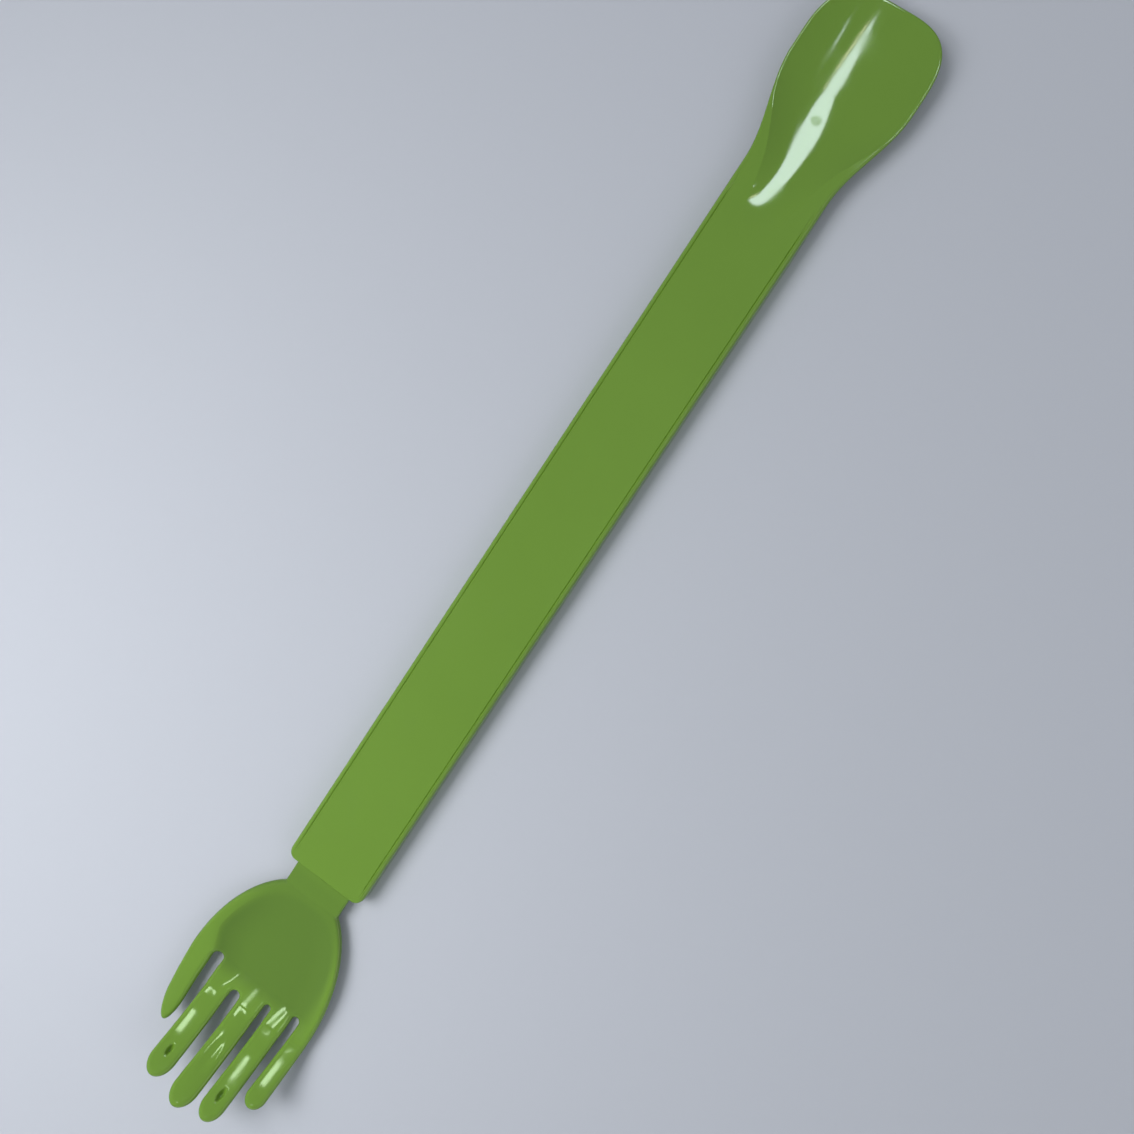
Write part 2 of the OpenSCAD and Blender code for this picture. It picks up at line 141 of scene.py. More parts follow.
def mouldedPolypropylene(name, gate=None, paintedShade=False):
    # Injection moulded polypropylene from a polished mould: even saturated colour with hardly visible flow
    # clouds, sharp bright reflections that wander over shallow sinks, a few spots dulled by handling, a matt spot
    # where the sprue was broken off at the gate, and painted shade: a darker green over the hollow of the palm and
    # the neck
    p = plastic
    material = bpy.data.materials.new(name)
    material.use_nodes = True
    tree = material.node_tree
    tree.nodes.clear()
    smoothly = {"interpolation_type": "SMOOTHSTEP"}
    place = addNode(tree, "ShaderNodeTexCoord").outputs["Object"]
    clouds = {}
    for pattern, detail in p["detail"].items():
        clouds[pattern] = addNode(tree, "ShaderNodeTexNoise", None, {
            "Vector": place, "Scale": 1.0 / (p[pattern + "Mm"] * mm), "Detail": detail}).outputs["Fac"]
    colour = addNode(tree, "ShaderNodeMix", {"data_type": "RGBA"}, {
        "Factor": clouds["flow"], "A": linear(p["deepGreen"]), "B": linear(p["green"])}).outputs["Result"]
    # painted shade: darkens upward faces of the palm's hollow and the neck, fading out towards the fingers, the
    # handle's mouth, the little finger's side and up the rims
    if paintedShade:
        spot = addNode(tree, "ShaderNodeSeparateXYZ", None, {"Vector": place}).outputs
        normal = addNode(tree, "ShaderNodeNewGeometry").outputs["Normal"]
        facing = addNode(tree, "ShaderNodeSeparateXYZ", None, {"Vector": normal}).outputs["Z"]
        start, full, thins, end = (x * mm for x in p["paintedShadeEndsMm"])
        side, height = [y * mm for y in p["paintedShadeSideMm"]], [z * mm for z in p["paintedShadeHeightMm"]]
        share = p["paintedShadeShare"]
        for socket, low, high, grows in ((facing, 0.0, p["paintedShadeFacing"], True), (spot["X"], start, full, True),
                                         (spot["X"], thins, end, False), (spot["Y"], *side, True),
                                         (spot["Z"], *height, False)):
            share = addNode(tree, "ShaderNodeMapRange", smoothly, {
                "Value": socket, "From Min": low, "From Max": high,
                "To Min": 0.0 if grows else share, "To Max": share if grows else 0.0}).outputs["Result"]
        colour = addNode(tree, "ShaderNodeMix", {"data_type": "RGBA"}, {
            "Factor": share, "A": colour, "B": linear(p["paintedShadeGreen"])}).outputs["Result"]
    dulled = addNode(tree, "ShaderNodeMapRange", smoothly, {
        "Value": clouds["smudge"], "From Min": p["smudgeLevels"][0], "From Max": p["smudgeLevels"][1],
        "To Min": p["roughness"], "To Max": p["smudgeRoughness"]}).outputs["Result"]
    if gate:
        away = addNode(tree, "ShaderNodeVectorMath", {"operation": "DISTANCE"}, {0: place, 1: gate})
        dulled = addNode(tree, "ShaderNodeMapRange", smoothly, {
            "Value": away.outputs["Value"], "From Min": p["gateMm"][0] * mm, "From Max": p["gateMm"][1] * mm,
            "To Min": p["gateRoughness"], "To Max": dulled}).outputs["Result"]
    sinks = addNode(tree, "ShaderNodeBump", None, {
        "Strength": 1.0, "Distance": p["sinkDepthMm"] * mm, "Height": clouds["sink"]})
    peel = addNode(tree, "ShaderNodeBump", None, {
        "Strength": 1.0, "Distance": p["peelDepthMm"] * mm, "Height": clouds["peel"],
        "Normal": sinks.outputs["Normal"]})
    shader = addNode(tree, "ShaderNodeBsdfPrincipled", None, {
        "Base Color": colour, "Roughness": dulled, "IOR": p["ior"], "Normal": peel.outputs["Normal"]})
    addNode(tree, "ShaderNodeOutputMaterial", None, {"Surface": shader.outputs["BSDF"]})
    return material


handle = {
    "mouthX": -122.5, "rootX": 122.5, "tipX": 179.5,  # ends of the straight part, and the blade's tip
    "width": 27.2, "thick": 6.4,
    "faceR": 1.3, "backR": 0.6, "cornerR": 3.0, "lipR": 0.6, "lipBackR": 0.05,  # roundings
    "roundShare": 0.45,  # largest rounding as a share of the thickness
    "grooveW": 0.4, "grooveDepth": 0.23,  # fine line beside the face's edges
    "grooveStart": (1.0, 5.0), "grooveEndL": 24.0,  # where it deepens behind the mouth, and runs out on the blade
    "bladeW": 39.6, "widenL": 32.0, "wall": 1.8,
    "scoopX": 104.0, "scoopL": 46.0, "scoopDepth": 4.5, "scoopShare": 0.4,
    "sideRunL": 36.0, "tipRise": 1.5, "tipL": 21.0, "tipPower": 2.85,
    "throatX": -116.5, "hollowX": 100.0, "coverX": 103.75,  # ends of the throat, the hollow and the cover's seat
    "throatY": 10.05, "hollowY": 11.7, "recessY": 12.5, "hollowZ": 4.7, "coverT": 1.7,
    "gateX": 141.6, "gateY": 2.7, "gateZ": 2.5, "gateR": 1.6, "gateDepth": 0.03,  # dimple of the plastic's inlet
    "sharpDegrees": 40,
}

handleGrid = {  # numbers of points on each stretch along the handle and on each surface across it
    "corner": 17, "straight": 50, "blade": 96, "tip": 81, "rounding": 10, "rim": 17, "scoop": 65, "ceiling": 50,
    "bladeX": 98.0, "gapL": 4.0, "tipGapL": 0.3,  # start of the closer stations, and gaps between the stretches
    "scoopMost": 0.97,  # largest share of the face between the scoop's edges
    "evenL": 10.0,  # length over which the columns on the back even out behind the cover
}

gatePlace = [handle[key] * mm for key in ("gateX", "gateY", "gateZ")]
handlePlastic = mouldedPolypropylene("mouldedPolypropyleneHandle", gate=gatePlace)
# the hand's plastic carries painted shade in the palm's hollow and on the neck
handPlastic = mouldedPolypropylene("mouldedPolypropyleneHand", paintedShade=True)
print("materials: moulded plastic made")


def stripHalf(x):
    # half width before the tip is rounded: eases from the handle's to the blade's
    return mix(handle["width"], handle["bladeW"], smooth((x - handle["rootX"]) / handle["widenL"])) / 2


def scoopGrown(x):
    # share of its full size that the scoop has
    return smooth((x - handle["scoopX"]) / handle["scoopL"])


def scoopHalf(x):
    # half width of the scoop, which starts narrow and grows to the blade's
    return stripHalf(x) * mix(handle["scoopShare"], 1.0, scoopGrown(x))


def faceZ(x, y):
    # level, then a scoop that is a parabola across from a crisp edge and grows in width and depth along,
    # a tip that curves up as a square, and the gate's dimple
    h = handle
    inside = np.maximum(0.0, 1 - (y / scoopHalf(x)) ** 2)
    widest = h["rootX"] + h["widenL"]
    up = np.maximum(0.0, (x - widest) / (h["tipX"] - widest))
    gate = np.maximum(0.0, 1.0 - ((x - h["gateX"]) ** 2 + (y - h["gateY"]) ** 2) / h["gateR"] ** 2)
    return (h["thick"] - h["scoopDepth"] * scoopGrown(x) * inside
            + h["tipRise"] * up * up - h["gateDepth"] * smooth(gate))


def backZ(x, y):
    # level, then easing up to one wall below the face
    h = handle
    return smooth((x - h["hollowX"]) / h["sideRunL"]) * np.maximum(0.0, faceZ(x, y) - h["wall"])


def handleOutline():
    # stations along the handle's edge with the inward normal: a quarter circle beside the mouth,
    # the straight side, the widening blade and a superellipse round the tip
    h, g = handle, handleGrid
    turn = np.radians(np.linspace(0.0, 90.0, g["corner"]))
    mouth = np.stack([h["mouthX"] + h["cornerR"] * (1 - np.cos(turn)),
                      h["width"] / 2 - h["cornerR"] * (1 - np.sin(turn)), np.cos(turn), -np.sin(turn)], 1)
    doubled = np.repeat([h["throatX"], h["hollowX"], h["coverX"]], 2)  # each step in the back has two stations
    straight = np.linspace(h["throatX"] + g["gapL"], g["bladeX"] - g["gapL"], g["straight"])
    blade = np.linspace(g["bladeX"], h["tipX"] - h["tipL"] - g["tipGapL"], g["blade"])
    x = np.sort(np.concatenate([straight, blade, doubled]))
    near = 0.01
    slope = (stripHalf(x + near) - stripHalf(x - near)) / (2 * near)
    size = np.hypot(1.0, slope)
    side = np.stack([x, stripHalf(x), slope / size, -1.0 / size], 1)
    u = np.sin(np.radians(np.linspace(0.0, 90.0, g["tip"])))
    v = np.maximum(0.0, 1 - u ** h["tipPower"]) ** (1 / h["tipPower"])
    half = h["bladeW"] / 2
    nx, ny = u ** (h["tipPower"] - 1) / h["tipL"], v ** (h["tipPower"] - 1) / half
    size = np.hypot(nx, ny)
    tip = np.stack([h["tipX"] - h["tipL"] * (1 - u), half * v, -nx / size, -ny / size], 1)
    return np.concatenate([mouth, side, tip])


def handleBack(x, edgeX, edgeY):
    # the back from left to right: seat's edge, seat, hollow's wall, ceiling, and the same again; behind the
    # cover's seat all of it is a plain back, and its columns even out
    h, g = handle, handleGrid
    ceiling = np.linspace(-1.0, 1.0, g["ceiling"])[None, 1:-1]
    second = (np.arange(len(x))[:, None] > 0) & (np.roll(x, 1) == x)  # of a doubled station, starts the next stretch
    inThroat, inHollow, inSeat = ((x < h[key]) | ((x == h[key]) & ~second)
                                  for key in ("throatX", "hollowX", "coverX"))
    seatY = np.where(inThroat, h["throatY"], h["recessY"])
    wallY = np.where(inThroat, h["throatY"], h["hollowY"])
    seatZ = np.where(inSeat, h["coverT"], 0.0)
    roofZ = np.where(inHollow, h["hollowZ"], seatZ)
    leftY = np.concatenate([-seatY, -seatY, -wallY, -wallY], 1)
    leftZ = np.concatenate([0.0 * seatZ, seatZ, seatZ, roofZ], 1)
    openY = np.concatenate([leftY, wallY * ceiling, -leftY[:, ::-1]], 1)
    openZ = np.concatenate([leftZ, roofZ + 0.0 * ceiling, leftZ[:, ::-1]], 1)
    evenY = edgeY * np.linspace(-1.0, 1.0, openY.shape[1] + 2)[None, 1:-1]
    backX = np.where(inSeat, x, edgeX) + 0.0 * openY
    backY = mix(openY, evenY, np.where(inSeat, 0.0, smooth((x - h["coverX"]) / g["evenL"])))
    return np.stack([backX, backY, np.where(inSeat, openZ, backZ(backX, backY))], -1)


def handleMesh():
    # the outline carries a ring of points: edge roundings on circles, a fine groove beside each, the face straight
    # across between them, and the back underneath
    h, g = handle, handleGrid
    x, half, nx, ny = (column[:, None] for column in handleOutline().T)
    largest = h["roundShare"] * (faceZ(x, half) - backZ(x, half))
    fromMouth = x - h["mouthX"]
    topR = np.minimum(mix(h["lipR"], h["faceR"], smooth(fromMouth / h["cornerR"])), largest)
    lowR = np.minimum(mix(h["lipBackR"], h["backR"], smooth(fromMouth / h["cornerR"])), largest)
    turn = np.radians(np.linspace(0.0, 90.0, g["rounding"]))[None, :]
    cut = h["grooveDepth"] * ease(fromMouth, *h["grooveStart"]) * (1 - smooth((x - h["scoopX"]) / h["grooveEndL"]))
    grooveIn, grooveDrop = h["grooveW"] * np.array([[0.5, 1.0]]), cut * np.array([[1.0, 0.0]])  # bottom, inner edge

    def rounding(r, side, top):
        inward, drop = r * (1 - np.cos(turn)), r * (1 - np.sin(turn))
        if top:
            inward, drop = np.concatenate([inward, r + grooveIn], 1), np.concatenate([drop, grooveDrop], 1)
        inX, inY = x + nx * inward, half + ny * inward
        z = faceZ(inX, inY) - drop if top else backZ(inX, inY) + drop
        return np.stack([inX, side * inY, z], -1)

    topRight, topLeft = rounding(topR, 1, True), rounding(topR, -1, True)
    lowRight, lowLeft = rounding(lowR, 1, False), rounding(lowR, -1, False)
    # columns across the face, with one on each edge of the scoop
    faceEndX, faceEndY = topRight[:, -1:, 0], topRight[:, -1:, 1]
    leastY = 0.01  # the last station, at the tip, has no width
    edge = np.minimum(scoopHalf(faceEndX) / np.maximum(faceEndY, leastY), g["scoopMost"])
    outer = mix(1.0, edge, np.linspace(0.0, 1.0, g["rim"])[None, 1:])
    inner = edge * np.linspace(1.0, -1.0, g["scoop"])[None, 1:-1]
    faceY = faceEndY * np.concatenate([outer, inner, -outer[:, ::-1]], 1)
    faceX = np.broadcast_to(faceEndX, faceY.shape)
    face = np.stack([faceX, faceY, faceZ(faceX, faceY)], -1)
    back = handleBack(x, lowRight[:, -1:, 0], lowRight[:, -1:, 1])
    rings = np.concatenate([topRight, face, topLeft[:, ::-1], lowLeft, back, lowRight[:, ::-1]], 1)
    count = rings.shape[1]
    faces = ringFaces(len(rings), count).tolist()
    # lip over the mouth: the face's end goes on round the first station's quarter circle, then one flat end
    # closes the mouth's frame
    steps = topRight.shape[1]
    lipY = np.concatenate([topRight[0, -1:, 1], faceY[0], topLeft[0, -1:, 1]])
    down = topRight[0, ::-1, :, None]
    lip = np.stack(np.broadcast_arrays(down[:, 0], lipY[None, :], down[:, 2]), -1)
    start, wide = rings.shape[0] * count, len(lipY)
    faces += (ringFaces(steps, wide, False) + start).tolist()
    lastRow = start + (steps - 1) * wide + np.arange(wide)
    around = np.arange(2 * steps + faceY.shape[1], count)
    faces.append(lastRow.tolist() + around.tolist())
    return np.concatenate([rings.reshape(-1, 3), lip.reshape(-1, 3)]), faces


def sharpScoopEdge(mesh):
    # gives the scoop's edge a crisp line: an edge of the mesh is sharp where both its ends lie on it
    spots, ends = np.empty(len(mesh.vertices) * 3), np.empty(len(mesh.edges) * 2, np.int32)
    sharp = np.empty(len(mesh.edges), bool)
    mesh.vertices.foreach_get("co", spots)
    mesh.edges.foreach_get("vertices", ends)
    mesh.edges.foreach_get("use_edge_sharp", sharp)
    x, y, z = spots.reshape(-1, 3).T / mm
    near = 0.002
    onEdge = (np.abs(np.abs(y) - scoopHalf(x)) < near) & (np.abs(z - faceZ(x, y)) < near) & (x > handle["scoopX"])
    mesh.edges.foreach_set("use_edge_sharp", sharp | onEdge[ends.reshape(-1, 2)].all(1))


points, faces = handleMesh()
piece = makePiece("shoehornHandle", points, faces, "handle", "shoehorn_handle", handlePlastic,
                  handle["sharpDegrees"])
sharpScoopEdge(piece.data)
print("handle: sleeve and shoehorn blade made")

cover = {
    "thick": 1.7, "edgeR": 0.3, "edgeSteps": 7,
    "startX": -122.5, "shoulderX": -116.4, "endX": 103.65,  # narrow tail in the throat, then full width
    "tailY": 9.95, "fullY": 12.4,
    "sharpDegrees": 40,
}


def coverMesh():
    # a flat plate: its section, with rounded lower edges, is carried along X and steps out at the shoulder
    c, r = cover, cover["edgeR"]
    turn = np.radians(np.linspace(0.0, 90.0, c["edgeSteps"]))[None, :]
    x = np.array([c["startX"], c["startX"] + r, c["shoulderX"], c["shoulderX"], c["endX"] - r, c["endX"]])[:, None]
    half = np.repeat([c["tailY"], c["fullY"]], 3)[:, None]
    chamfer = np.array([r, 0.0, 0.0, 0.0, 0.0, r])[:, None]  # of the lower edges at the ends
    y = np.concatenate([half - r * (1 - np.sin(turn)), half], 1)
    z = np.concatenate([r * (1 - np.cos(turn)) + 0.0 * half, c["thick"] + 0.0 * half], 1)
    z = np.maximum(z, chamfer)
    right, left = (np.stack([x + 0.0 * y, side * y, z], -1) for side in (1, -1))
    ring = np.concatenate([right, left[:, ::-1]], 1)
    count = ring.shape[1]
    faces = ringFaces(len(x), count).tolist()
    faces += [np.arange(count)[::-1].tolist(), (np.arange(count) + (len(x) - 1) * count).tolist()]
    return ring.reshape(-1, 3), faces


points, faces = coverMesh()
makePiece("rearCover", points, faces, "handle", "rear_cover", handlePlastic, cover["sharpDegrees"])
print("cover: rear cover made")

hand = {  # lists go from index to little finger
    "palmX": -130.2, "knuckleX": -166.5, "palmW": 47.2, "thumbBulge": 0.5, "bulgePower": 0.6,
    "rimZ": 5.2, "thumbRimW": 3.0, "littleRimW": 1.7,  # rim of the palm
    "rimCrown": 0.25, "crownEnd": (-8.0, 0.0), "rimBlendY": 8.0,  # its rounded top, where that ends, and its middle
    "thumbSlopeW": 11.0, "littleSlopeW": 9.5,  # slopes from the rim into the dish
    "dishZ": 2.0, "dishWall": 1.7, "edgeT": 2.6, "lowestZ": 0.3,
    "neckSlopeL": 22.0, "neckFlatL": 0.8, "fallShare": 0.7,  # slope from the neck, and how far it starts steeply
    "rampX": -162.3, "rampSlope": 0.35,  # crease where the dish turns up to the fingers, and the rise from there
    "knuckleZ": 4.5, "knuckleSlopeL": 13.0, "knuckleRise": 0.6, "knuckleRunL": 4.0,
    "ledgeSlope": 0.8, "palmEnd": (8.0, 12.0),  # beyond the knuckles: rise of the rim, and where the palm fades
    "fingerW": (7.6, 7.6, 6.9, 5.9), "fingerL": (31.75, 33.75, 32.3, 24.1), "fingerT": 2.6,
    "slotW": (3.3, 3.5, 2.4, 2.6), "slotRoot": (4.7, -1.8, 0.4, 2.6),  # gap before each finger, and where it starts
    "liftDegrees": 6.0, "curlR": 62.0, "steepest": 0.98,  # slope at the knuckles, radius of the curl, its end
    "padW": 0.7, "lean": 0.4, "tipTrim": 0.35, "tipRound": 0.6,  # fingers widen and lean, and have oval tips
    "trough": (0.25, 0.25, 0.25, 0.0), "troughW": (2.8, 3.2, 2.8, 2.8),  # dip at each finger's root
    "troughShift": -0.6, "troughSpan": (-5.0, -2.0, 3.0, 9.0),  # its place across, and where it starts and ends
    "troughSkew": (-0.4, -0.1, -0.25, 0.0), "skewSpan": (5.5, 10.0),  # how it leans towards the palm's middle
    "roll": (0.125, 0.135, 0.065, 0.05), "round": (0.014, 0.04, 0.02, 0.014),  # tilt and curve across each finger
    "rollStart": (2.0, 8.0), "rollEnd": (0.8, 1.0), "reachV": 1.3,  # where they start, end, and reach across
    "pitch": (0.0, 0.0, -0.017, 0.05), "pitchStart": 3.0,  # how much more steeply it rises than the curl
    "tipEase": (0.04, 0.09, 0.06, 0.03), "tipStart": 0.72,  # how much less steeply its end does
    # dimples before the tips: place along the finger, half length, half width, depth
    "dimple": ((0.77, 1.7, 0.85, 1.5), (0.58, 7.0, 1.9, 0.22), (0.78, 2.2, 0.9, 1.5), (0.8, 1.0, 1.0, 0.0)),
    "dimplePower": 1.5,
    "thumbL": 20.0, "thumbLean": 2.2, "thumbRise": 2.6, "thumbTaper": 0.22, "thumbTipL": 8.0,
    "thumbThin": 0.25, "thinStart": 0.5, "thumbMost": 1.3, "crownMost": 1.2,  # thinner end, and limits of its shape
    "thumbEdge": (-2.0, -1.0), "thumbStartL": 4.0,  # where the thumb's surface takes over, across and along
    "edgeR": 1.3, "edgePower": 2.0, "halfLeast": 0.25, "sharpDegrees": 75,
}

joins = {  # how the hand's forms run into one another
    "neckLap": 0.6, "palmLap": 4.5, "palmLapY": 1.6, "fingerLap": 1.0, "thumbLap": 4.0, "tongueLap": 1.0,
    "slotFillet": 0.3, "creaseFillet": 0.8, "rimFillet": 0.25, "knuckleFillet": 0.6,
    "edgeFillet": 1.0, "lowestFillet": 0.4, "pitchFillet": 6.0, "tipFillet": 4.0,
    "fingerFillet": (0.5, 0.5, 0.5, 0.05), "thumbFillet": 0.05, "neckFillet": 0.4,
    "neckSpan": (-0.2, 0.4),  # where the palm's surfaces turn into the tongue's
    "trim": 0.02,
}

tongue = {
    "width": 19.7, "lowZ": 2.0, "highZ": 4.4, "endX": 99.7, "edgeR": 0.5, "edgePower": 2.6,
    "shoeHalf": 11.5, "shoes": ((43.8, 53.8), (89.7, 99.7)),  # guide shoes that stop in the throat
    "armX": 73.8, "armL": 20.0, "armHalf": 3.0, "slitW": 1.0, "bumpR": 2.2, "bumpH": 0.2,  # spring catch
}

net = {  # grid on which the hand's surface is found
    "cell": 0.345, "cellZ": 0.26, "halfY": 24.6, "lowZ": -5.6, "highZ": 2.2,
    "aheadL": 1.5, "neckX": -118.0, "barCell": 2.5, "shoeX": 40.2, "shoeCell": 0.5, "endX": 101.0,
    "rounds": 4, "pull": 0.5, "returns": 3, "probe": 0.03, "longestMove": 0.2,  # evening out
}

palmL = hand["palmX"] - hand["knuckleX"]
lift = math.radians(hand["liftDegrees"])
bendX = hand["knuckleX"] + hand["curlR"] * math.sin(lift)  # where the fingers' curl starts
levelZ = hand["knuckleZ"] + hand["curlR"] * (math.cos(lift) - 1.0)  # height that is 0 in the flat hand
reach = palmL / math.sqrt(1 - (tongue["width"] / hand["palmW"]) ** 2)  # half length of the palm's ellipse
spans = [sum(hand["fingerW"][i + 1:]) + sum(hand["slotW"][i + 1:]) for i in range(4)]
fingerY = [spans[i] + (hand["fingerW"][i] - hand["palmW"]) / 2 for i in range(4)]
thumbInY = fingerY[0] + hand["fingerW"][0] / 2 + hand["slotW"][0]
thumbW = hand["palmW"] / 2 - thumbInY


def curlSwing(x):
    # sine of the slope along the fingers, which grows evenly from where the curl starts
    return np.clip((bendX - x) / hand["curlR"], 0.0, hand["steepest"])


def arcZ(x):
    # height of the fingers' upper side: level over the palm, then a circle that curls up
    return levelZ + hand["curlR"] * (1.0 - np.sqrt(1.0 - curlSwing(x) ** 2))


def palmHalf(x):
    # half an ellipse from the neck to the knuckles
    fromKnuckle = np.maximum(0.0, x - hand["knuckleX"]) / reach
    return hand["palmW"] / 2 * np.sqrt(np.maximum(0.0, 1 - fromKnuckle ** 2))


def bulge(x):
    # fullness on the thumb's side: half a sine wave, drawn towards the neck
    return hand["thumbBulge"] * np.sin(np.pi * np.clip((hand["palmX"] - x) / palmL, 0.0, 1.0) ** hand["bulgePower"])


def ovalDepth(u, lengthU, v, lengthV):
    # about the distance in from the edge of an ellipse with these half lengths, for u and v in units of them
    tiny = 1e-6
    e = np.sqrt(u * u + v * v) + tiny
    return (1 - e) * e / (np.sqrt((u / lengthU) ** 2 + (v / lengthV) ** 2) + tiny)


def fingerStrip(i, x, y):
    # distance in from a finger's edge, place across it from -1 to 1, and along it from 0 at the knuckle to 1
    h = hand
    tip, roundL = h["knuckleX"] - h["fingerL"][i] + h["tipTrim"], h["tipRound"] * h["fingerW"][i]
    along = (h["knuckleX"] - x) / h["fingerL"][i]
    half = (h["fingerW"][i] + h["padW"] * smooth(along)) / 2
    v = (y - fingerY[i] - h["lean"] * smooth(along)) / half
    depth = ovalDepth(np.maximum(0.0, (tip + roundL - x) / roundL), roundL, v, half)
    return np.minimum(depth, h["knuckleX"] + joins["fingerLap"] - x), v, along


def thumbStrip(x, y):
    # the same for the thumb, which narrows and ends in a longer oval
    h = hand
    along = np.clip((h["knuckleX"] - x) / h["thumbL"], 0.0, h["thumbMost"])
    outY = palmHalf(x) + bulge(x)
    half = (outY - thumbInY) / 2 * (1 - h["thumbTaper"] * along)
    v = (y - (outY + thumbInY) / 2 + h["thumbLean"] * along * along) / half
    toTip = np.maximum(0.0, (h["knuckleX"] - h["thumbL"] + h["thumbTipL"] - x) / h["thumbTipL"])
    depth = ovalDepth(toTip, h["thumbTipL"], v, half)
    return np.minimum(depth, h["knuckleX"] + h["slotRoot"][0] + joins["thumbLap"] - x), v, along


def palmOutline(x, y):
    # distance in from the palm's edge: half an ellipse that ends at the knuckles, less the gaps before the fingers
    h, j = hand, joins
    half = h["palmW"] / 2 + np.where(y > 0, bulge(x), 0.0)
    depth = ovalDepth(np.maximum(0.0, x - h["knuckleX"]) / reach, reach, y / half, half)
    lap = np.where(y > thumbInY - j["palmLapY"], 0.0, j["palmLap"])
    depth = np.minimum(depth, np.minimum(h["palmX"] + j["neckLap"] - x, lap - h["knuckleX"] + x))
    for i in range(4):
        r = h["slotW"][i] / 2
        gapX = h["knuckleX"] + h["slotRoot"][i] - r
        gapY = fingerY[i] + (h["fingerW"][i] + h["slotW"][i]) / 2
        depth = softMin(depth, np.hypot(np.maximum(0.0, x - gapX), y - gapY) - r, j["slotFillet"])
    return depth


def palmSides(x, y):
    # heights of the palm's upper and lower side: a dish that is a parabola in from each rim, falls from the neck
    # and turns up at a crease to the fingers
    h, t, j = hand, tongue, joins
    past = h["knuckleX"] - x
    fromNeck = smooth((h["palmX"] - x) / h["neckSlopeL"])
    toKnuckle = ease(past, -h["knuckleSlopeL"], 0.0)
    rim = mix(t["highZ"], h["rimZ"], fromNeck)
    littleRim = rim - (h["rimZ"] - h["knuckleZ"]) * toKnuckle
    away = np.clip((h["palmX"] - h["neckFlatL"] - x) / h["neckSlopeL"], 0.0, 1.0)
    fall = mix(smooth(away), away * (2 - away), h["fallShare"])
    ramp = h["rampSlope"] * softMax(h["rampX"] - x, 0.0, j["creaseFillet"])
    floor = mix(t["highZ"], h["dishZ"], fall) + ramp
    fromThumb = x - h["knuckleX"] - h["slotRoot"][0] + h["slotW"][0]
    thumbRimW = mix(thumbW, h["thumbRimW"], smooth(fromThumb / h["knuckleSlopeL"]))
    thumbSide, littleSide = palmHalf(x) + bulge(x) - y, y + palmHalf(x)
    upThumb = np.maximum(0.0, 1 - (thumbSide - thumbRimW) / h["thumbSlopeW"]) ** 2
    upLittle = np.maximum(0.0, 1 - (littleSide - h["littleRimW"]) / h["littleSlopeW"]) ** 2
    bowl = floor + np.maximum(0.0, rim - floor) * upThumb + np.maximum(0.0, littleRim - floor) * upLittle
    ledge = mix(littleRim, rim, ease(y, -h["rimBlendY"], h["rimBlendY"]))
    ledge = ledge + h["ledgeSlope"] * np.maximum(0.0, past)
    crown = np.where(y > 0, 2 * thumbSide / thumbRimW, 2 * littleSide / h["littleRimW"]) - 1
    crown = h["rimCrown"] * np.clip(crown, -1.0, 1.0) ** 2 * fromNeck * (1 - ease(past, *h["crownEnd"]))
    knuckle = arcZ(x) + h["knuckleRise"] * np.maximum(0.0, h["knuckleRunL"] - past)
    top = softMin(softMin(bowl, ledge - crown, j["rimFillet"]), knuckle, j["knuckleFillet"])
    tongueT = t["highZ"] - t["lowZ"]
    wall = mix(mix(tongueT, h["dishWall"], fromNeck), h["fingerT"], toKnuckle)
    edgeT = mix(tongueT, h["edgeT"], fromNeck)
    low = softMin(bowl - wall, ledge - edgeT, j["edgeFillet"])
    return top, softMax(low, h["lowestZ"], j["lowestFillet"])


def fingerRelief(i, y, past, v, along):
    # what a finger's upper side adds to the curl: a bell shaped dip at the root, then nearly flat across with a
    # small tilt, and a dimple before the tip; and how far the whole finger rises above the curl
    h, j = hand, joins
    onFinger = np.abs(v) < h["reachV"]
    start, full, thins, end = h["troughSpan"]
    skew = h["troughSkew"][i] * np.clip(h["skewSpan"][0] - past, 0.0, h["skewSpan"][1])
    dip = h["trough"][i] * np.exp(-((y - fingerY[i] - h["troughShift"] - skew) / h["troughW"][i]) ** 2)
    dip = dip * ease(past, start, full) * (1 - ease(past, thins, end))
    side = np.clip(v, -1.0, 1.0) * h["fingerW"][i] / 2
    tilt = (h["roll"][i] * side - h["round"][i] * side * side / 2) * onFinger
    tilt = tilt * ease(past, *h["rollStart"]) * (1 - ease(along, *h["rollEnd"]))
    place, sizeX, sizeY, deep = h["dimple"][i]
    apart = ((along - place) * h["fingerL"][i] / sizeX) ** 2 + (v * h["fingerW"][i] / 2 / sizeY) ** 2
    dimple = deep * np.maximum(0.0, 1 - apart) ** h["dimplePower"]
    raised = h["pitch"][i] * softMax(past - h["pitchStart"], 0.0, j["pitchFillet"])
    eased = h["tipEase"][i] * softMax(past - h["tipStart"] * h["fingerL"][i], 0.0, j["tipFillet"])
    return tilt - dip - dimple, (raised - eased) * onFinger


